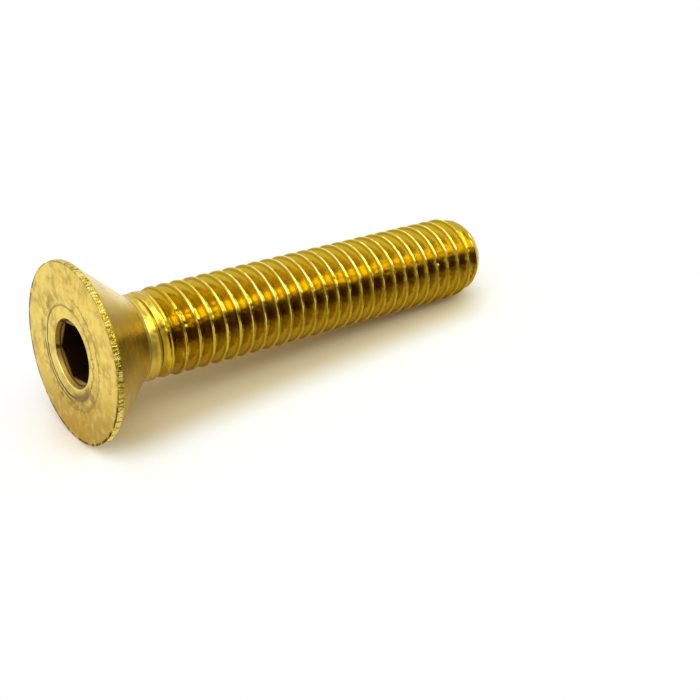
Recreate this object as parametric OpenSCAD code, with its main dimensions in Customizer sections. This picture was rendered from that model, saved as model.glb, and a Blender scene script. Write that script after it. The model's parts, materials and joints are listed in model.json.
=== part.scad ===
// Flat countersunk machine screw with a hexagon socket, lying on its side as it comes to rest.
// All sizes are in millimetres. The screw is drawn upright, flat face down, and then laid over.

/* [Overall] */
// Overall length, from the flat face of the head to the point
length = 50.7; // [25:0.1:60]

/* [Head] */
// Diameter of the flat face
head_d = 18.4; // [15:0.05:22]
// Height of the thin band round the edge of the head
rim_h = 0.61; // [0.3:0.01:1.2]
// Full angle of the countersunk cone
cone_angle = 82; // [76:1:100]
// Small bevel where the flat face meets the edge band
edge_break = 0.1; // [0.02:0.01:0.25]

/* [Socket] */
// Width of the hexagon socket across its flats
socket_af = 5.556; // [4:0.001:6.35]
// Depth of the full hexagon below the flat face
socket_depth = 4.04; // [2.5:0.01:4.1]
// Further depth of the shallow cone at the socket's bottom
socket_floor_h = 0.8; // [0.3:0.05:1.1]
// How much wider than the hexagon's corners the round mouth is, on the diameter
mouth_extra = 0.7; // [0.2:0.05:1.5]
// Depth of the round mouth, down to the ledges that it leaves above the hexagon's sides
mouth_depth = 0.5; // [0.2:0.05:1]
// Turn of the hexagon's first corner about the axis, from the level side towards the top
socket_turn = 48; // [0:1:59]

/* [Neck] */
// How far the plain neck lies below the thread crests
neck_drop = 0.3; // [0.15:0.01:0.5]
// Length of the plain neck after the cone
neck_len = 0.95; // [0.6:0.05:3]
// Radius of the fillet between cone and neck
neck_fillet = 0.45; // [0.2:0.05:0.55]

/* [Thread] */
// Diameter over the thread crests
thread_d = 9.36; // [8.8:0.01:10]
// Distance between neighbouring crests
pitch = 1.5875; // [1.3:0.0005:2.2]
// Depth of the thread as a share of the pitch
depth_share = 0.6; // [0.5:0.01:0.63]
// Width of the flat on each crest
crest_flat = 0.2; // [0.15:0.01:0.33]
// Full angle between the two flanks of a groove
flank_angle = 60; // [50:1:60]
// Length over which the groove fades in after the neck
run_out = 2.2; // [1:0.05:4]
// Turn of the helix about the axis, as a share of one turn
helix_turn = 0.905; // [0:0.005:0.995]

/* [Point] */
// Diameter of the flat end at the point
point_d = 7; // [5:0.05:7.3]
// Length of the steep bevel round the flat end
bevel_len = 0.95; // [0.5:0.05:1.5]
// How far the wide end of the bevel lies below the thread crests
bevel_drop = 0.48; // [0.2:0.01:0.7]
// Length over which the crests next to the bevel grow to full height
taper_len = 1.9; // [1:0.05:4]

/* [Smoothness] */
// Number of facets round the thread
thread_sides = 36; // [24:4:40]

/* [Hidden] */
brass = [0.79, 0.64, 0.29];
// How far a cutting or joined solid runs past the face it meets
overlap = 1;
// Least room between surfaces that must not coincide, such as the thread's root and the core under it
least_room = 0.05;
// Nearest that two rows of thread points come to each other or to an end
row_gap = 0.01;
// Points in the section of one thread: foot, crest edge, crest edge, foot
section_points = 4;
// Share of a ridge's half width that its crest edge never passes
crest_reach = 0.9;
// Share of the run-out that the groove fades in before the ridges rise above the neck
rise_share = 0.2;
// Share of a turn from the level side to the underside, where the lying screw meets the floor
lowest_turn = 0.75;
// Share of a facet by which the thread's columns are turned, so that a flat and no edge lies underneath
facet_turn = 0.5;
// Facets that mean a true circle
round_sides = 96;

head_r = head_d / 2;
cone_slope = tan(cone_angle / 2);
crest_r = thread_d / 2;
thread_depth = depth_share * pitch;
root_r = crest_r - thread_depth;
neck_r = crest_r - neck_drop;
cone_end = rim_h + (head_r - neck_r) / cone_slope;
neck_end = cone_end + neck_len;
core_end_r = root_r - least_room;
core_end = neck_end + run_out;
corner_r = socket_af / sqrt(3);
mouth_r = corner_r + mouth_extra / 2;
point_r = min(point_d / 2, root_r - least_room);

// Thread section: distances are along the axis from a ridge's middle
flank = tan(flank_angle / 2);
crest_half = crest_flat / 2;
ridge_half = crest_half + thread_depth * flank;
helix_start = helix_turn * pitch;

// The ridges rise out of the neck from rise_from on and reach full height where the run-out ends
rise_from = neck_end + run_out * rise_share;
rise_slope = neck_drop / (run_out * (1 - rise_share));
thread_from = rise_from - (neck_r - root_r) - least_room;

// The point is a steep bevel, and before it a slight taper that cuts the last crests down
bevel_r = crest_r - bevel_drop;
bevel_from = length - bevel_len;
bevel_slope = (bevel_r - point_r) / bevel_len;
taper_slope = bevel_drop / taper_len;

// Highest a ridge may stand at a height s up the axis, near the neck and near the point
function rise_limit(s) =
    s < rise_from ? neck_r - (rise_from - s) : neck_r + (s - rise_from) * rise_slope;

function point_limit(s) =
    s > bevel_from ? point_r + (length - s) * bevel_slope : bevel_r + (bevel_from - s) * taper_slope;

// Radius of the thread at height s, for a ridge whose middle is at height c
function thread_radius(s, c) =
    let (ridge = crest_r - max(0, abs(s - c) - crest_half) / flank)
    min(rise_limit(s), point_limit(s), max(root_r, min(crest_r, ridge)));

// Height at which a flank that starts at height s meets a limiting cone of radius base + slope * height
function meet(s, side, base, slope) =
    (s + side * flank * (crest_r - base)) / (1 + side * flank * slope);

// Height of one crest edge: on the full crest, or where its flank meets the cone that cuts it down
function crest_edge(c, side) =
    let (
        full = c + side * crest_half,
        near_neck = meet(full, side, neck_r - rise_from * rise_slope, rise_slope),
        near_taper = meet(full, side, bevel_r + bevel_from * taper_slope, -taper_slope),
        near_bevel = meet(full, side, point_r + length * bevel_slope, -bevel_slope),
        near_point = near_taper > bevel_from ? near_bevel : near_taper,
        edge = point_limit(full) < crest_r ? near_point
             : rise_limit(full) < crest_r ? near_neck
             : full,
        reach = ridge_half * crest_reach
    )
    min(max(edge, c - reach), c + reach);

// Height of point q in the section of the ridge whose middle is at height c
function section_height(c, q) =
    q == 0 ? c - ridge_half
    : q == 1 ? crest_edge(c, -1)
    : q == 2 ? crest_edge(c, 1)
    : c + ridge_half;

// The lying screw touches the floor with the rim's inner edge and with the crest underneath that
// lets it lean least. The lean is the angle between its axis and the floor.
last_turn = floor((length - helix_start) / pitch - lowest_turn);
leans = [for (k = [1:last_turn]) for (side = [-1, 1])
    let (
        c = helix_start + (k + lowest_turn) * pitch,
        s = min(crest_edge(c, side), length)
    )
    atan2(head_r - thread_radius(s, c), s - rim_h)
];
lean = min(leans);
lift = head_r * cos(lean) + rim_h * sin(lean);
front_x = -head_r * sin(lean);
back_x = length * cos(lean) + point_r * sin(lean);
middle_x = (front_x + back_x) / 2;

module head_section() {
    slant = sqrt(1 + cone_slope * cone_slope);
    fillet_r = neck_r + neck_fillet;
    fillet_s = rim_h + (neck_fillet * slant + head_r - fillet_r) / cone_slope;
    polygon([
        [0, 0],
        [head_r - edge_break, 0],
        [head_r, edge_break],
        [head_r, rim_h],
        [neck_r, cone_end],
        [neck_r, neck_end],
        [core_end_r, core_end],
        [0, core_end]
    ]);
    difference() {
        polygon([
            [fillet_r - neck_fillet / slant, fillet_s - neck_fillet * cone_slope / slant],
            [fillet_r, fillet_s],
            [neck_r, fillet_s],
            [neck_r - least_room, cone_end]
        ]);
        translate([fillet_r, fillet_s])
            circle(r = neck_fillet, $fn = round_sides);
    }
}

module socket() {
    intersection() {
        rotate([0, 0, socket_turn])
            translate([0, 0, -overlap])
                cylinder(h = overlap + socket_depth + socket_floor_h, r = corner_r, $fn = 6);
        union() {
            translate([0, 0, -2 * overlap])
                cylinder(h = 2 * overlap + socket_depth, r = corner_r + overlap, $fn = round_sides);
            translate([0, 0, socket_depth])
                cylinder(h = socket_floor_h, r1 = corner_r + least_room, r2 = 0, $fn = round_sides);
        }
    }
    ledge_r = corner_r + least_room;
    mouth_slope = (mouth_r - ledge_r) / mouth_depth;
    translate([0, 0, -overlap])
        cylinder(h = mouth_depth + overlap, r1 = mouth_r + overlap * mouth_slope, r2 = ledge_r,
            $fn = round_sides);
}

module head() {
    difference() {
        rotate_extrude($fn = round_sides)
            head_section();
        socket();
    }
}

// Helical thread: each column of points is one thread section after another up the axis, and each
// column stands a little higher than the one before it, so the last joins the first one ridge up.
module thread() {
    first = floor((thread_from - ridge_half - helix_start) / pitch) - 1;
    last = ceil((length + ridge_half - helix_start) / pitch);
    rows = section_points * (last - first + 1);
    sides = thread_sides;
    turns = [for (j = [0:sides - 1]) (j + facet_turn) / sides];
    middles = [for (turn = turns) [for (k = [first:last]) helix_start + (k + turn) * pitch]];
    heights = [for (j = [0:sides - 1]) [
        for (i = [0:rows - 1])
            section_height(middles[j][floor(i / section_points)], i % section_points)
    ]];
    grid = [for (j = [0:sides - 1]) for (i = [0:rows - 1])
        let (
            s = min(max(heights[j][i], thread_from), length),
            r = thread_radius(s, middles[j][floor(i / section_points)]),
            angle = 360 * turns[j]
        )
        [r * cos(angle), r * sin(angle), s]
    ];
    low_ring = [for (turn = turns)
        let (r = rise_limit(thread_from), angle = 360 * turn)
        [r * cos(angle), r * sin(angle), thread_from]
    ];
    high_ring = [for (turn = turns)
        [point_r * cos(360 * turn), point_r * sin(360 * turn), length]
    ];
    low = sides * rows;
    high = low + sides;
    low_middle = high + sides;
    high_middle = low_middle + 1;

    function place(j, i) =
        j == sides ? place(0, i + section_points)
        : i >= rows || heights[j][i] > length - row_gap ? high + j
        : heights[j][i] < thread_from + row_gap ? low + j
        : j * rows + i;

    quads = [for (j = [0:sides - 1]) for (i = [0:rows - 2])
        [place(j, i), place(j, i + 1), place(j + 1, i + 1), place(j + 1, i)]
    ];
    skin = [for (q = quads) for (t = [[q[0], q[1], q[2]], [q[0], q[2], q[3]]])
        if (t[0] != t[1] && t[1] != t[2] && t[2] != t[0]) t
    ];
    caps = [for (j = [0:sides - 1]) for (t = [
        [low_middle, low + j, low + (j + 1) % sides],
        [high_middle, high + (j + 1) % sides, high + j]
    ]) t];
    polyhedron(
        points = concat(grid, low_ring, high_ring, [[0, 0, thread_from], [0, 0, length]]),
        faces = concat(skin, caps)
    );
}

module screw() {
    color(brass)
        translate([-middle_x, 0, lift])
            rotate([0, lean, 0])
                rotate([90, 0, 90])
                    union() {
                        head();
                        thread();
                    }
}

screw();
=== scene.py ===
"""A brass flat countersunk machine screw with a hexagon socket, lying on a white studio floor.

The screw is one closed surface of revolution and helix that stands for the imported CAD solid. It adds what
the solid leaves out: rounded roots, the lap seam that thread rolling leaves on each crest, nicks, and the
turned and tarnished brass.
"""

import json
import math
from functools import partial
from types import SimpleNamespace

import bpy
import numpy as np
from bpy.props import FloatProperty, FloatVectorProperty, PointerProperty
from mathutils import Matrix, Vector


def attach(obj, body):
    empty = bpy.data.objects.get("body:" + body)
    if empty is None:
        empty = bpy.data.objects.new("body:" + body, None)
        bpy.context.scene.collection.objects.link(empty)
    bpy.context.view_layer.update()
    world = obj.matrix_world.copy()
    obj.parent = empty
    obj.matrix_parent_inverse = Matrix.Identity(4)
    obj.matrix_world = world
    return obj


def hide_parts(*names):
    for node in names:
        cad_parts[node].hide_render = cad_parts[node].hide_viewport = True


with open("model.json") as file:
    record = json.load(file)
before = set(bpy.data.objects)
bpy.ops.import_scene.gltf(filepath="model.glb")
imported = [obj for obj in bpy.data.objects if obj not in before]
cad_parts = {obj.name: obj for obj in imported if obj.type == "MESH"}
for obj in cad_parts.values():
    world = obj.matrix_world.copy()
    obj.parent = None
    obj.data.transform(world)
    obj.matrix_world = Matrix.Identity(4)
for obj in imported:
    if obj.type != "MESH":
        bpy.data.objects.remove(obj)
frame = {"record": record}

bl_info = {
    "name": "Brass machine screw",
    "version": (1, 0, 0),
    "blender": (4, 5, 0),
    "location": "3D View > Sidebar > Screw",
    "description": "Builds a brass countersunk machine screw and the studio it lies in",
    "category": "Object",
}

# One millimetre in metres, the seed of all random draws, the mesh columns round the screw, and how many
# nicks the thread has
MM = 0.001
SEED = 11
COLUMNS = 192
NICKS = 150

# The camera as fitted to the photograph: place in metres, heading and downward pitch in degrees
CAMERA_PLACE = (-0.067991, -0.098219, 0.072213)
CAMERA_HEADING = 51.892
CAMERA_PITCH = 31.049

# Half the floor's side, in metres
FLOOR_HALF = 3.0


# Colour


def linear(code):
    """Turns an sRGB hex colour into the linear red, green, blue and alpha that shaders take."""
    levels = np.array([int(code[i:i + 2], 16) / 255 for i in (1, 3, 5)])
    light = np.where(levels <= 0.04045, levels / 12.92, ((levels + 0.055) / 1.055) ** 2.4)
    return (*(float(v) for v in light), 1.0)


WHITE = linear("#FFFFFF")


# Settings


class ScrewSettings(bpy.types.PropertyGroup):
    """Sizes of the screw as in its CAD source, with crests 0.04 mm narrower to leave room for round shoulders."""

    length: FloatProperty(
        name="Length", description="From the flat face to the point",
        default=0.0507, unit="LENGTH", precision=5)
    head_diameter: FloatProperty(
        name="Head diameter", description="Diameter of the flat face",
        default=0.0184, unit="LENGTH", precision=5)
    rim_height: FloatProperty(
        name="Rim height", description="Height of the thin band round the edge of the head",
        default=0.00061, unit="LENGTH", precision=5)
    cone_angle: FloatProperty(
        name="Cone angle", description="Full angle of the countersunk cone",
        default=math.radians(82), subtype="ANGLE")
    socket_width: FloatProperty(
        name="Socket width", description="Width of the hexagon socket across its flats",
        default=0.005556, unit="LENGTH", precision=5)
    socket_depth: FloatProperty(
        name="Socket depth", description="Depth of the full hexagon",
        default=0.00404, unit="LENGTH", precision=5)
    socket_floor: FloatProperty(
        name="Socket floor", description="Further depth of the shallow cone at the socket's bottom",
        default=0.0008, unit="LENGTH", precision=5)
    mouth_diameter: FloatProperty(
        name="Mouth diameter", description="Diameter of the round mouth of the socket",
        default=0.007116, unit="LENGTH", precision=5)
    mouth_depth: FloatProperty(
        name="Mouth depth", description="Depth of the ledges between the round mouth and the hexagon",
        default=0.0005, unit="LENGTH", precision=5)
    socket_turn: FloatProperty(
        name="Socket turn", description="Turn of the hexagon's first corner from the level side",
        default=math.radians(48), subtype="ANGLE")
    thread_diameter: FloatProperty(
        name="Thread diameter", description="Diameter over the thread crests",
        default=0.00936, unit="LENGTH", precision=5)
    pitch: FloatProperty(
        name="Pitch", description="Distance between neighbouring crests",
        default=0.0015875, unit="LENGTH", precision=6)
    thread_depth: FloatProperty(
        name="Thread depth", description="Height of a crest over its root",
        default=0.0009525, unit="LENGTH", precision=6)
    crest_width: FloatProperty(
        name="Crest width", description="Width of the flat on each crest",
        default=0.00016, unit="LENGTH", precision=5)
    helix_turn: FloatProperty(
        name="Helix turn", description="Turn of the helix about the axis, as a share of one turn",
        subtype="FACTOR", min=0, max=1, default=0.905, precision=4)
    point_diameter: FloatProperty(
        name="Point diameter", description="Diameter of the flat end",
        default=0.007, unit="LENGTH", precision=5)


class FinishSettings(bpy.types.PropertyGroup):
    """Colours of the brass, several of them also used to paint shade and highlights."""

    brass: FloatVectorProperty(
        name="Brass", description="Clean yellow brass", subtype="COLOR", size=4,
        min=0, max=1, default=linear("#F7DA60"))
    # Brown film of handling, also used as painted shade on the face's lower part and the socket's wall
    tarnish_and_shade: FloatVectorProperty(
        name="Tarnish", description="Brown film that handling leaves on brass", subtype="COLOR", size=4,
        min=0, max=1, default=linear("#A47C38"))
    # Brown, used as painted shade in the face's creases and over its bruised patch, and on the socket's stained wall
    stain_and_shade: FloatVectorProperty(
        name="Stain", description="Brown stain in creases and bruises of the flat face", subtype="COLOR", size=4,
        min=0, max=1, default=linear("#6E4A1C"))
    # Dark oil and oxide, and painted shade: it darkens the socket's depth, the lines round the face's ring and edge,
    # the hollow before the neck, the socket's corners and the lines beside the thread's crests
    grime_and_shade: FloatVectorProperty(
        name="Grime", description="Dark oil and oxide in corners and in the socket", subtype="COLOR", size=4,
        min=0, max=1, default=linear("#2A1A06"))
    # Also painted shade on the face's lower part and on the rim's upper half
    warm: FloatVectorProperty(
        name="Rolled flanks", description="Deeper yellow of the cone and the rolled thread", subtype="COLOR", size=4,
        min=0, max=1, default=linear("#CAA922"))
    # Painted shade: the dark band along the cone's side and the thread's darker roots
    olive_shade: FloatVectorProperty(
        name="Olive film", description="Dark oily film on the turned cone", subtype="COLOR", size=4,
        min=0, max=1, default=linear("#846C1A"))
    # Pale rubbed metal, also used as painted highlights on the cone's top, the upper crests, the neck, the ring's lip,
    # the socket's lower edge and the rim's burrs
    wear_and_highlight: FloatVectorProperty(
        name="Worn crests", description="Pale rubbed metal on the thread crests and sharp edges", subtype="COLOR",
        size=4, min=0, max=1, default=linear("#F8E498"))


class StudioSettings(bpy.types.PropertyGroup):
    """Floor, lamps and camera."""

    floor: FloatVectorProperty(
        name="Floor", description="White floor", subtype="COLOR", size=4,
        min=0, max=1, default=linear("#FDFDFB"))
    # Painted light and painted shadow: the floor's warm, darker tint close to the screw
    glow_and_shadow: FloatVectorProperty(
        name="Floor glow", description="Tint of the floor close to the screw, where the brass throws its light",
        subtype="COLOR", size=4, min=0, max=1, default=linear("#E4D3AE"))
    overhead_power: FloatProperty(
        name="Overhead power", description="Power of the softbox above the screw", unit="POWER",
        default=0.55)
    front_power: FloatProperty(
        name="Front power", description="Power of the softbox above the camera", unit="POWER",
        default=2.2)
    side_power: FloatProperty(
        name="Side power", description="Power of the small softbox on the point's side", unit="POWER",
        default=0.8)
    lamp_colour: FloatVectorProperty(
        name="Lamp colour", description="Cool daylight of the overhead and front softboxes", subtype="COLOR",
        size=4, min=0, max=1, default=linear("#ECF3FF"))
    side_colour: FloatVectorProperty(
        name="Side colour", description="Slightly green daylight of the side softbox, for yellow glints",
        subtype="COLOR", size=4, min=0, max=1, default=linear("#E4FBF0"))
    flag_colour: FloatVectorProperty(
        name="Flag colour", description="Cloth whose reflection draws the thread's dark band", subtype="COLOR",
        size=4, min=0, max=1, default=linear("#42160A"))
    fill: FloatProperty(
        name="Fill", description="Brightness of the even light from all round", subtype="FACTOR",
        min=0, max=1, default=0.5)
    fill_colour: FloatVectorProperty(
        name="Fill colour", description="Warm light that walls and brass throw into the shadows", subtype="COLOR",
        size=4, min=0, max=1, default=linear("#FFF1CC"))
    lens: FloatProperty(
        name="Lens", description="Focal length on a 36 mm sensor", unit="CAMERA", default=65.04)


# Placing the screw's own coordinates in the row frame


class Axis:
    """The screw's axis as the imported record's socket mount gives it.

    A point of the screw is given by its height s above the flat face, its radius r and its turn about the
    axis from the level side towards the top, in millimetres and radians.
    """

    def __init__(self):
        mount = next(m for m in frame["record"]["mounts"] if m["name"] == "hex_socket")
        self.origin = np.array(mount["pos_m"])
        along = -np.array(mount["axis"])
        self.along = along / np.linalg.norm(along)
        self.level = np.array([0.0, 1.0, 0.0])
        self.up = np.cross(self.along, self.level)
        self.lean = math.atan2(-self.along[2], self.along[0])

    def points(self, s, r, turn):
        """Row-frame points, in metres: origin + s * along + r * (cos turn * level + sin turn * up)."""
        s, r, turn = np.broadcast_arrays(s, r, turn)
        flat = (
            s[..., None] * self.along
            + (r * np.cos(turn))[..., None] * self.level
            + (r * np.sin(turn))[..., None] * self.up
        )
        return self.origin + flat * MM


# Surfaces


def smooth_min(a, b, width):
    """The lower of a and b, with the corner between them rounded over the given width."""
    share = np.clip(0.5 + 0.5 * (b - a) / width, 0, 1)
    return b + (a - b) * share - width * share * (1 - share)


def smooth_max(a, b, width):
    """The higher of a and b, with the corner between them rounded."""
    return -smooth_min(-a, -b, width)


def smooth_step(x):
    """Rises from 0 to 1 as x does: x * x * (3 - 2 x)."""
    x = np.clip(x, 0, 1)
    return x * x * (3 - 2 * x)


def waves(s, turn, key, around, along, terms=10):
    """Smooth noise of about unit size that closes round the axis: a sum of sines of the turn and the height."""
    rng = np.random.default_rng(SEED + key)
    total = np.zeros(np.broadcast(s, turn).shape)
    for _ in range(terms):
        n = rng.integers(-around, around + 1)
        total = total + np.sin(n * turn + rng.uniform(-along, along) * s + rng.uniform(0, 2 * math.pi))
    return total * math.sqrt(2 / terms)


def nicks(s, turn, radius, spots):
    """Depth of small round dents, each with a height, a turn, a reach and a depth.

    They are bell curves, depth * exp(-(distance / reach) ** 2), so a dent is 1.7 reaches across.
    """
    total = np.zeros(s.shape)
    for height, angle, reach, depth in spots:
        swing = np.angle(np.exp(1j * (turn - angle))) * radius
        total += depth * np.exp(-((s - height) ** 2 + swing ** 2) / (reach * reach))
    return total


class Sizes:
    """The settings in millimetres, with the sizes that follow from them.

    The head's radius is 0.006 mm smaller, so that it stays inside the flats of the CAD's round edge. The
    neck lies 0.28 mm below the crests. The head's rings end at low, 0.3 mm up the neck, where the rows of
    the thread take over until high, 0.07 mm before the flat end.
    """

    def __init__(self, s):
        self.length = s.length / MM
        self.head_r = s.head_diameter / 2 / MM - 0.006
        self.rim_h = s.rim_height / MM
        self.slope = math.tan(s.cone_angle / 2)
        self.flat = s.socket_width / 2 / MM
        self.corner_r = self.flat / math.cos(math.pi / 6)
        self.depth = s.socket_depth / MM
        self.floor_h = s.socket_floor / MM
        self.mouth_r = s.mouth_diameter / 2 / MM
        self.mouth_s = s.mouth_depth / MM
        self.ledge_r = self.corner_r + 0.05
        self.turn = s.socket_turn
        self.crest_r = s.thread_diameter / 2 / MM
        self.pitch = s.pitch / MM
        self.root_r = self.crest_r - s.thread_depth / MM
        self.crest_half = s.crest_width / 2 / MM
        self.helix = s.helix_turn
        self.point_r = s.point_diameter / 2 / MM
        self.flank = math.tan(math.pi / 6)
        self.root_half = self.pitch / 2 - self.crest_half - (self.crest_r - self.root_r) * self.flank
        self.neck_r = self.crest_r - 0.28
        self.neck_from = self.rim_h + (self.head_r - self.neck_r) / self.slope
        self.low = self.neck_from + 0.3
        self.high = self.length - 0.07


def crest_limit(z, s):
    """Highest that a ridge stands at height s: a swelling neck, then a taper and a bevel at the point.

    The neck is a sum of smooth steps: out by 0.15 mm, in by 0.04 mm, and out again to the crests.
    """
    up = s - z.low
    neck = z.neck_r - 0.02 + 0.15 * smooth_step(up / 0.8) - 0.04 * smooth_step((up - 0.8) / 0.9)
    neck = neck + (z.crest_r - z.neck_r - 0.09) * smooth_step((up - 1.6) / 2.4)
    tail = np.interp(
        s,
        [z.length - 2.85, z.length - 0.95, z.length - 0.12, z.length],
        [z.crest_r, z.crest_r - 0.48, z.point_r + 0.1, z.point_r - 0.02],
    )
    return np.minimum(neck, tail)


def root_level(z, s):
    """Radius of the groove's bottom at height s: it fades in over the run-out after the neck."""
    return np.interp(
        s,
        [z.low, z.low + 0.5, z.low + 1.4, z.low + 2.2, z.low + 3.0],
        [z.neck_r + 0.15, z.neck_r - 0.1, z.neck_r - 0.38, z.neck_r - 0.58, z.root_r],
    )


def thread_rows(z, turns):
    """Heights and radii of the helical ridges, one column of rows for each turn.

    A row keeps its place in the thread section while the section climbs one pitch in each turn. The
    section has a seam in the middle of the crest, a lip on each side of it, a rounded shoulder, a straight
    flank at 30 degrees, and a rounded root. At a distance d from the crest's middle the groove's radius is
    root + (half a pitch - d - half the root's width) / tan 30, and the neck or the point cuts it off.
    """
    first = math.floor((z.low - z.pitch) / z.pitch - z.helix) - 2
    last = math.ceil((z.length + z.pitch) / z.pitch - z.helix)
    ridges = np.arange(first, last + 1)
    middle = z.pitch * (z.helix + ridges[None, :, None] + turns[:, None, None] / (2 * math.pi))
    half = z.pitch / 2
    limit = crest_limit(z, middle)
    root = root_level(z, middle)
    crest = half - z.root_half - np.maximum(limit - root, 0) * z.flank
    crest = np.clip(crest, z.crest_half * 0.7, half - z.root_half)
    side = half - crest
    wide = [0 * crest, 0.45 * crest, crest - 0.02, crest + 0.02,
            crest + 0.07, crest + 0.5 * side, crest + 0.84 * side]
    offsets = np.concatenate([-(half + 0 * crest)] + [-w for w in wide[:0:-1]] + wide, axis=2)
    heights = middle + offsets
    angle = turns[:, None, None] + 0 * heights
    shape = heights.shape

    limit = crest_limit(z, heights)
    root = root_level(z, heights)
    from_root = half - np.abs(offsets)
    groove = smooth_max(root, root + (from_root - z.root_half) / z.flank, 0.09)
    ridge = np.where(root < limit, smooth_min(limit, groove, 0.025), limit)

    # The seam is 0.02 to 0.09 mm deep, deeper in patches and towards both ends of the thread
    patch = np.clip(0.55 + 0.6 * waves(heights, angle, 1, 3, 0.4), 0, 1)
    ends = np.clip(1.4 - (heights - z.low) / 9, 0, 1) + np.clip((heights - z.length + 9) / 9, 0, 1)
    seam = (0.02 + 0.03 * patch + 0.04 * ends) * np.exp(-(offsets / 0.04) ** 2)

    # Rolling leaves the surface a little uneven, by about 0.02 mm
    rough = 0.010 * waves(heights, angle, 2, 24, 3.0) + 0.006 * waves(heights, angle, 3, 60, 9.0)

    # Nicks from handling, 0.2 to 0.4 mm across and up to 0.12 mm deep, on the ridges only
    rng = np.random.default_rng(SEED)
    spots = np.stack([
        rng.uniform(z.low + 2, z.length - 1, NICKS), rng.uniform(0, 2 * math.pi, NICKS),
        rng.uniform(0.10, 0.26, NICKS), rng.uniform(0.02, 0.12, NICKS)], axis=1)
    dents = nicks(heights, angle, z.crest_r, spots) * np.clip((ridge - z.root_r) / 0.5, 0, 1)
    radius = ridge - seam - np.maximum(rough + 0.012, 0) - dents
    rows = shape[1] * shape[2]
    return heights.reshape(len(turns), rows), radius.reshape(len(turns), rows), shape[2]


def head_rows(z, turns):
    """Heights and radii of the rings from the socket's bottom over the face, rim and cone to the neck.

    The socket's wall is the hexagon r = flat / cos(turn from the middle of its side). Its mouth is round
    and leaves a level ledge above each side of the hexagon.
    """
    part = math.pi / 3
    hexagon = z.flat / np.cos(np.mod(turns - z.turn, part) - part / 2)
    bottom = z.depth + z.floor_h
    rings = []

    def ring(s, r):
        rings.append((s + 0 * turns, r + 0 * turns))

    # Conical floor and six-sided wall of the socket
    for share in (0.25, 0.5, 0.75, 0.97):
        ring(bottom - z.floor_h * hexagon * share / z.corner_r, hexagon * share)
    foot = bottom - z.floor_h * hexagon / z.corner_r
    for share in (0.0, 0.04, 0.2, 0.4, 0.6, 0.8, 0.9, 0.96):
        ring(foot + (z.mouth_s - foot) * share, hexagon)

    # Ledges above the hexagon's sides, and the cone of the round mouth
    ring(z.mouth_s + 0.02, hexagon)
    ring(z.mouth_s, hexagon + 0.02)
    for share in (0.35, 0.7):
        ring(z.mouth_s, hexagon + (z.ledge_r - hexagon) * share)
    for share in (0.0, 0.1, 0.3, 0.5, 0.7, 0.88, 0.97):
        ring(z.mouth_s * (1 - share), z.ledge_r + (z.mouth_r - z.ledge_r) * share)

    # Flat face between two rounded edges, then the rim
    ring(0.003, z.mouth_r + 0.012)
    for r in np.linspace(z.mouth_r + 0.06, z.head_r - 0.16, 20):
        ring(0.0, r)
    for s, r in ((0.0, 0.1), (0.008, 0.06), (0.03, 0.025), (0.07, 0.004), (0.12, 0.0)):
        ring(s, z.head_r - r)
    for share in (0.25, 0.5, 0.75):
        ring(0.1 + (z.rim_h - 0.1) * share, z.head_r)
    ring(z.rim_h - 0.04, z.head_r)
    ring(z.rim_h, z.head_r - 0.012)

    # Cone, and the fillet that leads into the neck
    reach = z.head_r - z.neck_r
    for share in (0.015, 0.05, 0.15, 0.3, 0.45, 0.6, 0.75, 0.88, 0.94):
        ring(z.rim_h + reach * share / z.slope, z.head_r - reach * share)
    for up, out in ((-0.2, 0.185), (-0.1, 0.115), (0.0, 0.05), (0.1, 0.0), (0.2, -0.025)):
        ring(z.neck_from + up, z.neck_r + out)
    heights = np.array([s for s, _ in rings])
    radii = np.array([r for _, r in rings])

    # One notch in the face's edge, 0.5 mm across and 0.16 mm deep, and a ragged rim. The rim is cut in by up
    # to about 0.1 mm and never out, so that nothing stands proud.
    angle = np.broadcast_to(turns, heights.shape)
    notch = nicks(heights, angle, z.head_r, [(0.0, math.radians(57), 0.3, 0.16)]) * (radii > z.head_r - 0.2)
    burr = 0.03 * np.maximum(waves(heights, angle, 5, 90, 6.0, 14), 0)
    burr *= np.clip(1 - np.abs(radii - z.head_r) / 0.05, 0, 1) * (heights < z.rim_h + 0.05)
    return heights, radii - burr - notch


def end_rows(z, turns):
    """Heights and radii of the rings over the flat end, from its rounded edge to its middle."""
    edge = [(0.03, 0.012), (0.008, 0.06), (0.0, 0.13)]
    rings = [(z.length - up + 0 * turns, z.point_r - inward + 0 * turns) for up, inward in edge]
    for share in (0.88, 0.76, 0.62, 0.48, 0.34, 0.2, 0.08):
        rings.append((z.length + 0 * turns, z.point_r * share + 0 * turns))
    heights = np.array([s for s, _ in rings])
    radii = np.array([r for _, r in rings])
    angle = np.broadcast_to(turns, heights.shape)
    inner = np.clip(1 - radii / z.point_r, 0, 1)
    return heights - 0.02 * np.abs(waves(radii, angle, 7, 5, 2.0)) * inner, radii


def lattice(grid):
    """Four-cornered faces between the neighbouring rows and columns of a grid of point numbers."""
    return np.stack([grid[:-1, :-1], grid[:-1, 1:], grid[1:, 1:], grid[1:, :-1]], axis=-1).reshape(-1, 4)


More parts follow.
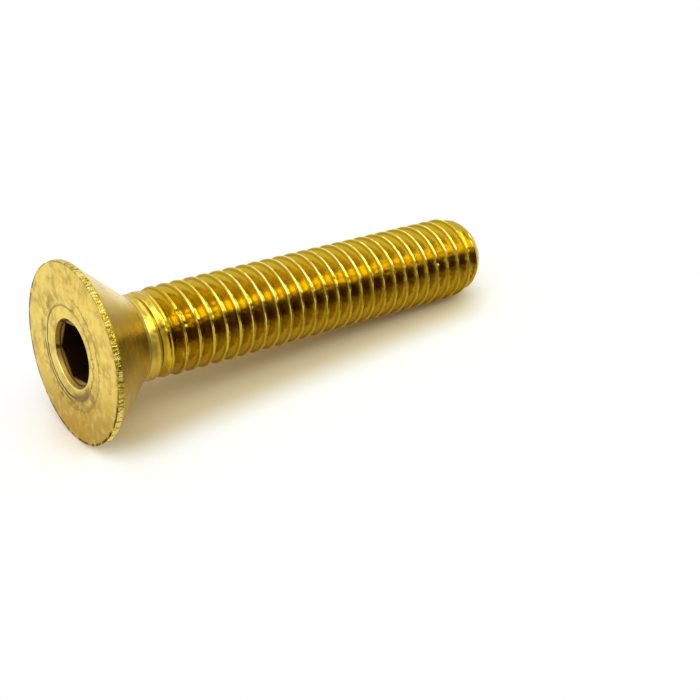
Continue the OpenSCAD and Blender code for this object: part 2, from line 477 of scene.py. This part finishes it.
def screw_mesh(z, axis):
    """Points and faces of the whole screw: rings over the head, helical rows, and rings over the flat end."""
    turns = z.turn + 2 * math.pi * np.arange(COLUMNS) / COLUMNS
    head_s, head_r = head_rows(z, turns)
    end_s, end_r = end_rows(z, turns)
    thread_s, thread_r, section = thread_rows(z, turns)
    rows = thread_s.shape[1]
    columns = np.arange(COLUMNS)
    neck_r = crest_limit(z, z.low)
    tail_r = crest_limit(z, z.high)

    blocks = [
        axis.points(np.array([z.depth + z.floor_h]), np.zeros(1), np.zeros(1)),
        axis.points(head_s, head_r, turns).reshape(-1, 3),
        axis.points(z.low, neck_r, turns),
        axis.points(thread_s, thread_r, turns[:, None]).reshape(-1, 3),
        axis.points(z.high, tail_r, turns),
        axis.points(end_s, end_r, turns).reshape(-1, 3),
        axis.points(np.array([z.length]), np.zeros(1), np.zeros(1)),
    ]
    starts = np.cumsum([0] + [len(b) for b in blocks])
    points = np.concatenate(blocks)
    bottom, head, low, thread, high, end, top = starts[:7]

    # Rows past either end of the thread fall together with the ring there
    place = np.full((COLUMNS + 1, rows), -1)
    place[:-1] = thread + columns[:, None] * rows + np.arange(rows)
    place[:-1] = np.where(thread_s < z.low + 0.004, low + columns[:, None], place[:-1])
    place[:-1] = np.where(thread_s > z.high - 0.004, high + columns[:, None], place[:-1])
    place[-1, :-section] = place[0, section:]
    place[-1, -section:] = high

    wrap = np.append(columns, 0)
    over_head = head + np.arange(len(head_s))[:, None] * COLUMNS + wrap
    over_head = np.vstack([over_head, low + wrap])
    over_end = end + np.arange(len(end_s))[:, None] * COLUMNS + wrap
    over_end = np.vstack([high + wrap, over_end])
    quads = np.vstack([lattice(over_head), lattice(place.T), lattice(over_end)])
    fans = np.vstack([
        np.stack([np.full(COLUMNS, bottom), over_head[0, 1:], over_head[0, :-1]], axis=-1),
        np.stack([np.full(COLUMNS, top), over_end[-1, :-1], over_end[-1, 1:]], axis=-1),
    ])
    halves = np.vstack([quads[:, [0, 1, 2]], quads[:, [0, 2, 3]], fans[:, [0, 2, 1]]])
    real = (halves[:, 0] != halves[:, 1]) & (halves[:, 1] != halves[:, 2]) & (halves[:, 2] != halves[:, 0])
    return points, halves[real]


def mesh_object(name, points, faces, sharp):
    """A smooth-shaded mesh object from whole arrays, with edges sharper than the angle kept crisp."""
    a, b, c = points[faces[:, 0]], points[faces[:, 1]], points[faces[:, 2]]
    if np.einsum("ij,ij->i", a, np.cross(b, c)).sum() < 0:
        faces = faces[:, ::-1]
    used, index = np.unique(faces, return_inverse=True)
    points, faces = points[used], index.reshape(faces.shape)
    mesh = bpy.data.meshes.new(name)
    mesh.vertices.add(len(points))
    mesh.vertices.foreach_set("co", points.astype(np.float32).ravel())
    mesh.loops.add(faces.size)
    mesh.loops.foreach_set("vertex_index", faces.astype(np.int32).ravel())
    mesh.polygons.add(len(faces))
    mesh.polygons.foreach_set("loop_start", np.arange(0, faces.size, 3, dtype=np.int32))
    mesh.update(calc_edges=True)
    mesh.validate()
    mesh.polygons.foreach_set("use_smooth", np.ones(len(mesh.polygons), dtype=bool))
    mesh.set_sharp_from_angle(angle=sharp)
    piece = bpy.data.objects.new(name, mesh)
    bpy.context.scene.collection.objects.link(piece)
    return piece


# Materials


# Settings that every node of a kind takes here
USUAL = {"MapRange": {"interpolation_type": "SMOOTHSTEP"}, "Mix": {"data_type": "RGBA"}}


def add(tree, kind, *values, **settings):
    """Adds a node with its settings and links.

    The kind is a node type without "ShaderNode", or in capitals an operation of the Math node, which is
    chained where MULTIPLY or MAXIMUM is given more than two values. The values go to the inputs in use, in
    their order, or by name where a mapping is given. A node given as a value is linked by its first output
    in use, and a socket by itself.
    """
    if kind in ("MULTIPLY", "MAXIMUM") and len(values) > 2:
        values = (add(tree, kind, *values[:-1]), values[-1])
    if kind.isupper():
        kind, settings = "Math", {"operation": kind}
    node = tree.nodes.new("ShaderNode" + kind)
    for name, value in {**USUAL.get(kind, {}), **settings}.items():
        setattr(node, name, value)
    if values and isinstance(values[0], dict):
        pairs = [(node.inputs[name], value) for name, value in values[0].items()]
    else:
        pairs = zip([socket for socket in node.inputs if socket.enabled], values)
    for socket, value in pairs:
        if isinstance(value, bpy.types.Node):
            value = next(out for out in value.outputs if out.enabled)
        if isinstance(value, bpy.types.NodeSocket):
            tree.links.new(value, socket)
        else:
            socket.default_value = value
    return node


def new_material(name):
    """An empty node material, and the function that adds a node to it."""
    material = bpy.data.materials.new(name)
    material.use_nodes = True
    material.node_tree.nodes.clear()
    return material, partial(add, material.node_tree)


def band(g, value, centre, half, soft):
    """A mask that is one where the value is within half of the centre, falling to nothing over soft."""
    away = g("ABSOLUTE", g("SUBTRACT", value, centre))
    return g("MapRange", away, half, half + soft, 1.0, 0.0)


def screw_point(g, axis):
    """The shaded point in the screw's own terms, in millimetres, and the noises that several parts share.

    s is its height above the flat face, across and up are its level and upward distance from the axis, r
    is its radius, cos and sin give its turn, and run grows along the profile of face, cone and shank alike.
    The noises make patches of about 2 mm, 1 mm and 0.2 mm.
    """
    place = g("TexCoord").outputs["Object"]
    own = g("Mapping", place, tuple(axis.origin), (0, axis.lean, 0), (MM, MM, MM), vector_type="TEXTURE")
    s, across, up = g("SeparateXYZ", own).outputs
    r = g("SQRT", g("MULTIPLY_ADD", across, across, g("MULTIPLY", up, up)))
    return SimpleNamespace(
        own=own, s=s, across=across, up=up, r=r, run=g("SUBTRACT", s, r),
        cos=g("DIVIDE", across, r), sin=g("DIVIDE", up, r),
        broad=g("TexNoise", own, 0.45, 3.0, 0.55),
        mottle=g("TexNoise", own, 1.05, 4.0, 0.55),
        fine=g("TexNoise", own, 5.0, 3.0, 0.6))


def screw_parts(g, p, z):
    """Masks of the parts of the screw: one on the part, and nothing elsewhere.

    The socket's ends 6 to 7 mm down, in the solid metal below its floor.
    """
    inside = g("MapRange", p.r, z.mouth_r - 0.02, z.mouth_r + 0.02, 1, 0)
    before_neck = g("MapRange", p.s, z.neck_from - 0.2, z.neck_from, 1, 0)
    before_cone = g("MapRange", p.s, z.rim_h - 0.05, z.rim_h + 0.05, 1, 0)
    return SimpleNamespace(
        face=g("MULTIPLY", g("MapRange", p.s, 0.02, 0.05, 1, 0), g("MapRange", p.r, z.mouth_r - 0.05, z.mouth_r)),
        socket=g("MULTIPLY", inside, g("MapRange", p.s, 6, 7, 1, 0)),
        rim=g("MULTIPLY", g("MapRange", p.r, z.head_r - 0.2, z.head_r - 0.1), before_cone),
        cone=g("MULTIPLY", g("MapRange", p.s, z.rim_h, z.rim_h + 0.1), before_neck),
        neck=band(g, p.s, z.low + 0.6, 0.8, 0.6),
        thread=g("MapRange", p.s, z.low - 0.2, z.low + 0.2))


def face_film_and_shade(g, p, z, on):
    """The brown film that handling leaves, thickest on the flat face, and the face's lower part, darker as painted
    shade.
    """
    film = g("MULTIPLY", g("MapRange", p.broad, 0.38, 0.62), g("MapRange", p.mottle, 0.35, 0.65, 0.2, 1.0))
    spots = g("MULTIPLY", g("MapRange", p.mottle, 0.44, 0.72), g("MapRange", p.fine, 0.3, 0.65, 0.35, 0.7))
    film = g("MULTIPLY", g("MAXIMUM", film, spots), g("MULTIPLY_ADD", on.face, 0.4, 0.2))
    # Painted shade: the face is darker on its lower part, turned a little towards +level
    down = g("MULTIPLY_ADD", p.up, 0.97, g("MULTIPLY", p.across, 0.24))
    low = g("MULTIPLY", g("MapRange", down, 0.0, -z.head_r * 0.85, 0.0, 0.9), on.face)
    # The film mask also carries this painted shade
    film = g("MAXIMUM", film, g("MULTIPLY", low, g("MapRange", p.mottle, 0.3, 0.6, 0.3, 0.6)))
    return film, low


def face_marks_and_shade(g, p, z, on):
    """What the punch that made the socket left on the flat face, as four masks of relief, painted shade and painted
    highlight.

    The punch pushed up a ring round the socket, off centre towards +level and sharp on that side only, with a second
    line outside its lower part and a pale lip between the two. The two lines, fainter at the top, and a line along the
    face's edge, strongest low down, are dark painted shade; the lip is a painted highlight. On the other side the
    metal creased in two broken, wavering lines with a spur across them, dented in the relief and darkened with painted
    shade. A bruised patch about as far out as the creases is dented too, and painted shade darkens it on the lower
    half and the +level side. The lines are about 0.2 mm wide, and the one along the face's edge 0.4 mm.
    """
    wander = g("TexNoise", g("CombineXYZ", p.cos, p.sin, 0.0), 2.2)
    ring_r = g("SUBTRACT", p.r, g("MULTIPLY_ADD", wander, 0.3, -0.15))
    ring_r = g("SUBTRACT", ring_r, g("MULTIPLY", p.cos, 0.42))
    # Painted shade: the dark line of the raised ring, fainter at the top
    first = g("MULTIPLY", band(g, ring_r, 4.68, 0.07, 0.08), g("MapRange", p.cos, -0.35, 0.1),
              g("MapRange", p.sin, 1.0, 0.0, 0.5, 1.0))
    # Painted shade: a second dark line outside the ring's lower part
    second = g("MULTIPLY", band(g, ring_r, 5.14, 0.05, 0.12), g("MapRange", p.sin, 0.2, -0.3),
               g("MapRange", p.cos, -0.2, 0.2), 0.75)
    # Painted shade: a dark line along the face's edge, strongest low down
    edge = g("MULTIPLY", band(g, p.r, z.head_r - 0.1, 0.12, 0.12), g("MapRange", p.mottle, 0.35, 0.55),
             g("MAXIMUM", g("MapRange", p.sin, 0.5, -0.4, 0.1, 1.0), g("MapRange", p.cos, 0.75, 0.95)))
    # Painted highlight: a pale lip between the ring's two lines
    lip = g("MULTIPLY", band(g, ring_r, 4.93, 0.07, 0.05), g("MapRange", p.cos, 0.0, 0.4),
            g("MapRange", p.sin, 0.4, -0.2), on.face)

    jag = g("TexNoise", p.own, 1.1, 4.0, 0.65)
    crease_r = g("SUBTRACT", ring_r, g("MULTIPLY_ADD", jag, 1.1, -0.55))
    outer = g("MULTIPLY", band(g, crease_r, 5.9, 0.03, 0.16), 0.8)
    # Painted shade in the creases
    crease = g("MULTIPLY", g("MAXIMUM", band(g, crease_r, 4.75, 0.03, 0.14), outer),
               g("MapRange", p.cos, 0.3, -0.2), g("MapRange", p.fine, 0.34, 0.5), 0.7)
    beside = g("MULTIPLY_ADD", p.sin, -0.86, g("MULTIPLY", p.cos, -0.5))
    spur = g("MULTIPLY", band(g, beside, 1.0, 0.05, 0.12), band(g, crease_r, 4.6, 0.2, 0.5), 0.75)
    # Painted shade over the bruised patch, on the lower half and the +level side
    bruise_shade = g("MULTIPLY", band(g, crease_r, 5.4, 0.2, 0.6), g("MapRange", p.mottle, 0.35, 0.6), on.face,
               g("MAXIMUM", g("MapRange", p.sin, 0.1, -0.5), g("MapRange", p.cos, 0.1, 0.6)))
    return SimpleNamespace(
        rings=g("MULTIPLY", g("MAXIMUM", first, second, edge), on.face), lip=lip, bruise_shade=bruise_shade,
        crease=g("MAXIMUM", g("MULTIPLY", g("MAXIMUM", crease, spur), on.face), g("MULTIPLY", bruise_shade, 0.42)))


def rim_marks(g, p, on):
    """Burrs across the rim, drawn 0.3 mm apart so that they show, and the dark specks between them."""
    stretched = g("CombineXYZ", p.run, g("MULTIPLY", p.across, 3.6), g("MULTIPLY", p.up, 3.6))
    stroke = g("TexNoise", stretched, 1.0, 4.0, 0.65, 2.0, 0.4)
    specks = g("MULTIPLY", g("MapRange", stroke, 0.52, 0.57), g("MapRange", p.mottle, 0.4, 0.6, 0.5, 1.0),
               g("MapRange", p.sin, 0.9, 0.3, 0.5, 1.0), on.rim)
    return stroke, specks


def socket_marks_and_shade(g, p, z, on, part_turn):
    """The socket's wall, its depth, its lower edge and the dark marks on the wall, most of them painted light and
    shade.

    The wall is stained brown, which is also painted shade, and below the ledges the depth goes almost black as painted
    shade. A pale band on the mouth's lower edge is a painted highlight. The corners of the ledges and a stroke up from
    each corner of the hexagon are darkened as painted shade, and the lines that the punch left are drawn 0.14 mm apart
    so that they show.
    """
    # A stained wall that is also painted shade
    wall = g("MULTIPLY", on.socket, g("MapRange", p.s, 0.02, 0.1))
    # Painted shade: below the ledges the socket goes almost black
    deep = g("MULTIPLY", on.socket, g("MapRange", p.s, z.mouth_s + 0.06, z.mouth_s + 0.2))
    # Painted highlight: a pale band on the mouth's lower edge
    mouth = g("MULTIPLY", band(g, p.r, z.mouth_r + 0.02, 0.05, 0.04), g("MapRange", p.sin, 0.1, -0.4),
              g("MapRange", p.s, 0.1, 0.15, 1, 0))
    # Painted shade in the corners of the ledges
    corner = g("MULTIPLY", band(g, p.s, z.mouth_s - 0.04, 0.03, 0.05), band(g, p.r, z.ledge_r + 0.02, 0.05, 0.05), 0.8)
    sixth = g("FRACT", g("MULTIPLY_ADD", part_turn, 6.0, 0.5 - z.turn * 3 / math.pi))
    # Painted shade: a dark stroke up each corner of the hexagon, except low down
    stroke = g("MULTIPLY", band(g, sixth, 0.5, 0.03, 0.06), g("MapRange", p.sin, -0.7, -0.3), wall, 0.85)
    line = g("MULTIPLY", band(g, g("FRACT", g("MULTIPLY", p.s, 7.0)), 0.5, 0.1, 0.2), on.socket,
             g("MapRange", p.s, z.mouth_s, z.mouth_s + 0.02), 0.8)
    return SimpleNamespace(wall=wall, deep=deep, mouth=mouth, dark=g("MAXIMUM", corner, stroke, line))


def thread_marks_and_shade(g, p, z, part_turn):
    """Masks of the rubbed crests, the roots darkened as painted shade, and thin dark lines of painted shade.

    The lines lie 0.2 mm beside each crest and in the first, shallow grooves. The roots are darker from 8 to 44 mm up
    the screw. off is the distance along the axis from the nearest crest's middle.
    """
    phase = g("SUBTRACT", g("DIVIDE", p.s, z.pitch), g("ADD", part_turn, z.helix - 0.5))
    off = g("MULTIPLY_ADD", g("FRACT", phase), z.pitch, -z.pitch / 2)
    beyond_start = g("MapRange", p.s, z.low + 2, z.low + 3)
    # Painted shade: thin dark lines beside each crest
    lap = g("MAXIMUM", band(g, off, -0.2, 0.03, 0.06), g("MULTIPLY", band(g, off, 0.2, 0.04, 0.06), 0.7))
    lap = g("MULTIPLY", lap, beyond_start, g("MapRange", p.s, z.length - 1.2, z.length - 0.8, 1, 0), 0.34)
    # Painted shade in the first, shallow grooves
    start = g("MULTIPLY", band(g, g("ABSOLUTE", off), z.pitch / 2, 0.03, 0.07),
              g("MapRange", p.s, z.low, z.low + 0.5), g("MapRange", p.s, z.low + 3, z.low + 5, 1, 0), 0.7)
    rubbed = g("MULTIPLY", g("MapRange", p.r, z.crest_r - 0.055, z.crest_r - 0.02), beyond_start)
    # Painted shade: the roots darkened
    root = g("MULTIPLY", g("MapRange", p.r, z.root_r + 0.06, z.root_r + 0.4, 0.4, 0), band(g, p.s, 26, 18, 2))
    return SimpleNamespace(rubbed=rubbed, root=root, dark=g("MAXIMUM", lap, start))


def brass_material(finish, z, axis):
    """Rolled and turned yellow brass, lightly tarnished.

    The metal's colour is a warm yellow, so every reflection is tinted and grooves that mirror each other
    turn deeper gold. Turned faces carry fine rings that spread highlights across them, the rolled thread is
    burnished smoother, and a patchy brown film dulls the flat face. The socket is dark. Much of the colour is
    painted light and shade: the socket's stained wall and almost black depth, the face's lower part, the
    dark lines round its ring and along its edge, its creases and bruised patch, the hollow where the cone
    meets the neck, a dark band along the cone's side, the thread's roots and the lines beside its crests are
    painted shade, and pale bands on the cone's top, the upper crests, the neck, the ring's lip, the socket's
    lower edge and the rim's burrs are painted highlights.
    """
    material, g = new_material("rolled_and_turned_brass")
    p = screw_point(g, axis)
    on = screw_parts(g, p, z)
    part_turn = g("DIVIDE", g("ARCTAN2", p.up, p.across), 2 * math.pi)
    film, low = face_film_and_shade(g, p, z, on)
    face = face_marks_and_shade(g, p, z, on)
    stroke, specks = rim_marks(g, p, on)
    socket = socket_marks_and_shade(g, p, z, on, part_turn)
    thread = thread_marks_and_shade(g, p, z, part_turn)

    # Turning marks: rings along the profile that change slowly round the axis. Real ones lie about 0.1 mm
    # apart, and these are drawn 0.25 mm apart so that they show.
    turning = g("TexNoise", g("CombineXYZ", g("MULTIPLY", p.run, 4.0), g("MULTIPLY", p.cos, 1.5),
                              g("MULTIPLY", p.sin, 1.5)), 1.0, 3.0, 0.6)

    # Colour: from the clean metal up, each layer is a share of the colour that lies over it
    # Deeper yellow on thread and cone, and as painted shade on the face's lower part and the rim's upper half
    rolled = g("MAXIMUM", on.thread, on.cone, low, g("MULTIPLY", on.rim, g("MapRange", p.sin, -0.3, 0.1)))
    bright = g("MapRange", g("TexNoise", p.own, 0.9, 4.0, 0.6, 2.0, 0.3), 0.5, 0.64)
    # Pale rubbed metal in random patches on the face, and painted highlights: the ring's lip, the socket's lower edge,
    # glints on the rim's burrs and the cone's top
    wear_and_highlight = g("MAXIMUM", g("MULTIPLY", bright, on.face, 0.4), g("MULTIPLY", face.lip, 0.9), socket.mouth,
             g("MULTIPLY", g("MapRange", stroke, 0.52, 0.4, 0.0, 0.7), on.rim),
             g("MULTIPLY", on.cone, g("MapRange", p.sin, 0.82, 1.0, 0.0, 0.9)))
    # Painted shade: a dark band along the cone's upper side, below its top
    cone_belt_shade = g("MULTIPLY", g("MapRange", p.sin, 0.9, 0.65), g("MapRange", p.sin, 0.0, 0.35),
             g("MapRange", p.broad, 0.3, 0.55, 0.7, 1.0), on.cone, 0.8)
    # Painted shade in the hollow where the cone's fillet meets the neck
    valley_shade = band(g, p.s, z.neck_from + 0.08, 0.02, 0.22)
    # Dark marks, most of them painted shade: the face's ring and edge lines, the hollow before the neck, the socket's
    # corners and the thread's lines; the rim's specks and the punch's lines in the socket are marks in the metal
    dark = g("MAXIMUM", g("MULTIPLY", face.rings, 0.9), g("MULTIPLY", valley_shade, 0.5), g("MULTIPLY", specks, 0.9),
             socket.dark, thread.dark)
    colour = finish.brass
    for share, over in (
        (rolled, finish.warm),
        (wear_and_highlight, finish.wear_and_highlight),
        # Crests rubbed pale, paler towards the top as a painted highlight
        (g("MULTIPLY", thread.rubbed, g("MapRange", p.sin, -0.1, 0.5, 0.25, 0.85)), finish.wear_and_highlight),
        # Painted highlight: the neck a little paler
        (g("MULTIPLY", on.neck, 0.12), finish.wear_and_highlight),
        # Painted shade in the thread's roots
        (thread.root, finish.olive_shade),
        # The socket's wall: stained brown, which is also painted shade, darker towards its upper side
        (g("MULTIPLY", socket.wall, 0.5), finish.tarnish_and_shade),
        (g("MULTIPLY", socket.wall, g("MapRange", p.sin, -0.8, 0.0, 0.66, 0.8)), finish.stain_and_shade),
        # Brown film, with the painted shade of the face's lower part
        (film, finish.tarnish_and_shade),
        # Painted shade along the cone's side
        (cone_belt_shade, finish.olive_shade),
        # Painted shade in the creases and over the bruised patch
        (face.crease, finish.stain_and_shade),
        # Painted shade and dark specks
        (dark, finish.grime_and_shade),
        # Painted shade: the socket's depth almost black
        (g("MULTIPLY", socket.deep, 0.98), finish.grime_and_shade),
    ):
        colour = g("Mix", share, colour, over)

    # Roughness: 0.2 for burnished brass, then what each part and mark adds
    roughness = 0.2
    for mask, change in (
        (turning, 0.16),
        (on.face, 0.12),
        (g("MapRange", p.s, 6, 9), -0.1),
        (film, 0.2),
        (socket.wall, 0.2),
        (on.rim, g("MapRange", p.sin, 0.3, -0.2, -0.06, 0.3)),
        (on.neck, g("MapRange", p.sin, 0.8, 0.3, -0.06, 0.2)),
        (socket.deep, 0.4),
        (g("MAXIMUM", thread.rubbed, socket.mouth), -0.1),
    ):
        roughness = g("MULTIPLY_ADD", mask, change, roughness)

    # Relief, in millimetres
    height = 0.0
    for mask, change in (
        (g("MULTIPLY", turning, g("SUBTRACT", 1.0, on.thread)), 0.026),
        (p.fine, g("MapRange", p.s, 0.05, 0.3, 0.012, 0.005)),
        (p.mottle, 0.02),
        (face.rings, -0.03),
        (g("MULTIPLY", on.rim, stroke), 0.2),
        (face.crease, -0.08),
        (face.bruise_shade, -0.08),
    ):
        height = g("MULTIPLY_ADD", mask, change, height)
    bump = g("Bump", {"Height": g("MULTIPLY", height, MM), "Strength": 1.0, "Distance": 1.0})
    shader = g("BsdfPrincipled", {"Base Color": colour, "Metallic": 1.0, "Roughness": roughness, "Normal": bump})
    g("OutputMaterial", shader)
    return material


def seen(g):
    """One for the rays that see a background: from the camera, a reflection or a clear body."""
    path = g("LightPath").outputs
    return g("MAXIMUM", path["Is Camera Ray"], path["Is Glossy Ray"], path["Is Transmission Ray"])


def floor_material(colour, glow_and_shadow):
    """Matt white paper, lit nearly to white near the screw, where it keeps the soft shadow.

    Close to the screw it is painted a warm, slightly darker tint, painted light that the brass throws and painted
    shadow.
    Further out it is seen as plain white, by a smooth step of the distance from the middle 40 mm of the
    line under the screw.
    """
    material, g = new_material("white_paper")
    x, y, _ = g("SeparateXYZ", g("TexCoord").outputs["Object"]).outputs
    past = g("MAXIMUM", g("SUBTRACT", g("ABSOLUTE", x), 0.02), 0.0)
    away = g("SQRT", g("MULTIPLY_ADD", past, past, g("MULTIPLY", y, y)))
    # Painted warm light and shadow within 3 to 9 mm of the line under the screw
    paper = g("BsdfDiffuse", g("Mix", g("MapRange", away, 0.003, 0.009), glow_and_shadow, colour))
    share = g("MULTIPLY", g("MapRange", away, 0.003, 0.017), seen(g))
    g("OutputMaterial", g("MixShader", share, paper, g("Emission", WHITE, 1.0)))
    return material


def flag_material(colour):
    """Dark brown cloth that fades out towards all its edges, and that keeps clear of the head and the cone."""
    material, g = new_material("brown_cloth")
    along, across, _ = g("SeparateXYZ", g("TexCoord").outputs["UV"]).outputs
    ends = g("MULTIPLY", g("MapRange", along, 0.0, 0.2), g("MapRange", along, 0.8, 1.0, 1, 0))
    near = g("MULTIPLY_ADD", g("MapRange", along, 0.41, 0.47), 0.31, across)
    share = g("MULTIPLY", ends, g("MapRange", across, 0.4, 1.0, 1, 0), g("MapRange", near, 0.24, 0.5))
    g("OutputMaterial", g("MixShader", share, g("BsdfTransparent"), g("BsdfDiffuse", colour)))
    return material


# Stage


def softbox(name, place, size, power, colour):
    """A rectangular area lamp of the given size and power, turned towards the screw."""
    lamp = bpy.data.lights.new(name, "AREA")
    lamp.shape = "RECTANGLE"
    lamp.size, lamp.size_y = size
    lamp.energy = power
    lamp.color = colour[:3]
    box = bpy.data.objects.new(name, lamp)
    box.location = place
    box.rotation_euler = (-Vector(place)).to_track_quat("-Z", "Y").to_euler()
    bpy.context.scene.collection.objects.link(box)


def flag(length, near, far, height, colour):
    """A long dark card on the camera's side, seen only in reflections, that curves up from the floor.

    With u along it and v across it: x = length * (u - 1/2), y = -near - (far - near) * sin(90 v), and
    z = height * (1 - cos(90 v)), all raised by 0.4 mm so that it clears the floor.
    """
    u, v = np.meshgrid(np.linspace(0, 1, 33), np.linspace(0, 1, 17))
    bend = v * math.pi / 2
    points = np.stack([
        length * (u - 0.5), -near - (far - near) * np.sin(bend), 0.0004 + height * (1 - np.cos(bend))], axis=-1)
    faces = lattice(np.arange(u.size).reshape(u.shape))
    mesh = bpy.data.meshes.new("flag")
    mesh.from_pydata(points.reshape(-1, 3).tolist(), [], faces.tolist())
    place = np.stack([u, v], axis=-1).reshape(-1, 2)[faces.ravel()]
    mesh.uv_layers.new(name="UVMap").uv.foreach_set("vector", place.astype(np.float32).ravel())
    mesh.materials.append(flag_material(colour))
    piece = bpy.data.objects.new("flag", mesh)
    for rays in ("camera", "diffuse", "shadow", "transmission", "volume_scatter"):
        setattr(piece, "visible_" + rays, False)
    bpy.context.scene.collection.objects.link(piece)


def white_world(fill, colour):
    """An even fill light, seen as plain white by the rays that see a background."""
    world = bpy.data.worlds.new("studio_world")
    world.use_nodes = True
    world.node_tree.nodes.clear()
    g = partial(add, world.node_tree)
    share = seen(g)
    sky = g("Background", g("Mix", share, colour, WHITE), g("MULTIPLY_ADD", share, 1 - fill, fill))
    g("OutputWorld", sky)
    return world


class SCREW_OT_build(bpy.types.Operator):
    """Build the brass screw"""

    bl_idname = "screw.build"
    bl_label = "Build screw"
    bl_options = {"REGISTER", "UNDO"}

    def execute(self, context):
        axis = Axis()
        z = Sizes(context.scene.screw_sizes)
        points, faces = screw_mesh(z, axis)
        if not np.isfinite(points).all():
            raise ValueError("the screw's surface has a point that is not a number")
        piece = mesh_object("machine_screw_surface", points, faces, sharp=math.radians(38))
        piece.data.materials.append(brass_material(context.scene.screw_finish, z, axis))
        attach(piece, "root")
        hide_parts("screw")
        return {"FINISHED"}


class SCREW_OT_studio(bpy.types.Operator):
    """Build the white floor, the lamps and the camera"""

    bl_idname = "screw.studio"
    bl_label = "Build studio"
    bl_options = {"REGISTER", "UNDO"}

    def execute(self, context):
        studio = context.scene.screw_studio
        scene = context.scene
        corners = [(x * FLOOR_HALF, y * FLOOR_HALF, 0) for x, y in ((-1, -1), (1, -1), (1, 1), (-1, 1))]
        mesh = bpy.data.meshes.new("floor")
        mesh.from_pydata(corners, [], [(0, 1, 2, 3)])
        mesh.materials.append(floor_material(studio.floor, studio.glow_and_shadow))
        floor = bpy.data.objects.new("floor", mesh)
        scene.collection.objects.link(floor)

        flag(length=0.3, near=0.004, far=0.07, height=0.09, colour=studio.flag_colour)

        # The small lamp on the point's side draws the yellow glints in the grooves
        softbox("overhead", (-0.12, 0.1, 0.47), (0.5, 0.4), studio.overhead_power, studio.lamp_colour)
        softbox("front", (-0.14, -0.25, 0.41), (1.0, 0.3), studio.front_power, studio.lamp_colour)
        softbox("side", (0.31, -0.3, 0.41), (0.3, 0.3), studio.side_power, studio.side_colour)
        scene.world = white_world(studio.fill, studio.fill_colour)

        camera = bpy.data.cameras.new("camera")
        camera.lens = studio.lens
        camera.sensor_width = 36.0
        camera.clip_start = 0.005
        eye = bpy.data.objects.new("camera", camera)
        eye.location = CAMERA_PLACE
        eye.rotation_euler = (math.radians(90 - CAMERA_PITCH), 0, math.radians(CAMERA_HEADING - 90))
        scene.collection.objects.link(eye)
        scene.camera = eye
        scene.view_settings.view_transform = "Standard"
        return {"FINISHED"}


class SCREW_PT_panel(bpy.types.Panel):
    """Sidebar panel with the screw's operators and settings"""

    bl_idname = "SCREW_PT_panel"
    bl_label = "Machine screw"
    bl_space_type = "VIEW_3D"
    bl_region_type = "UI"
    bl_category = "Screw"

    def draw(self, context):
        layout = self.layout
        for kind in OPERATORS:
            layout.operator(kind.bl_idname)
        for group in ("screw_sizes", "screw_finish", "screw_studio"):
            settings = getattr(context.scene, group)
            box = layout.box()
            for name in settings.bl_rna.properties.keys():
                if name not in ("rna_type", "name"):
                    box.prop(settings, name)


OPERATORS = (SCREW_OT_build, SCREW_OT_studio)
GROUPS = {"screw_sizes": ScrewSettings, "screw_finish": FinishSettings, "screw_studio": StudioSettings}


def register():
    for kind in (*GROUPS.values(), *OPERATORS, SCREW_PT_panel):
        bpy.utils.register_class(kind)
    for name, kind in GROUPS.items():
        setattr(bpy.types.Scene, name, PointerProperty(type=kind))


def unregister():
    for name in GROUPS:
        delattr(bpy.types.Scene, name)
    for kind in reversed((*GROUPS.values(), *OPERATORS, SCREW_PT_panel)):
        bpy.utils.unregister_class(kind)


def main():
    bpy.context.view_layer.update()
    register()
    bpy.ops.screw.build()
    bpy.ops.screw.studio()


if __name__ == "__main__":
    main()
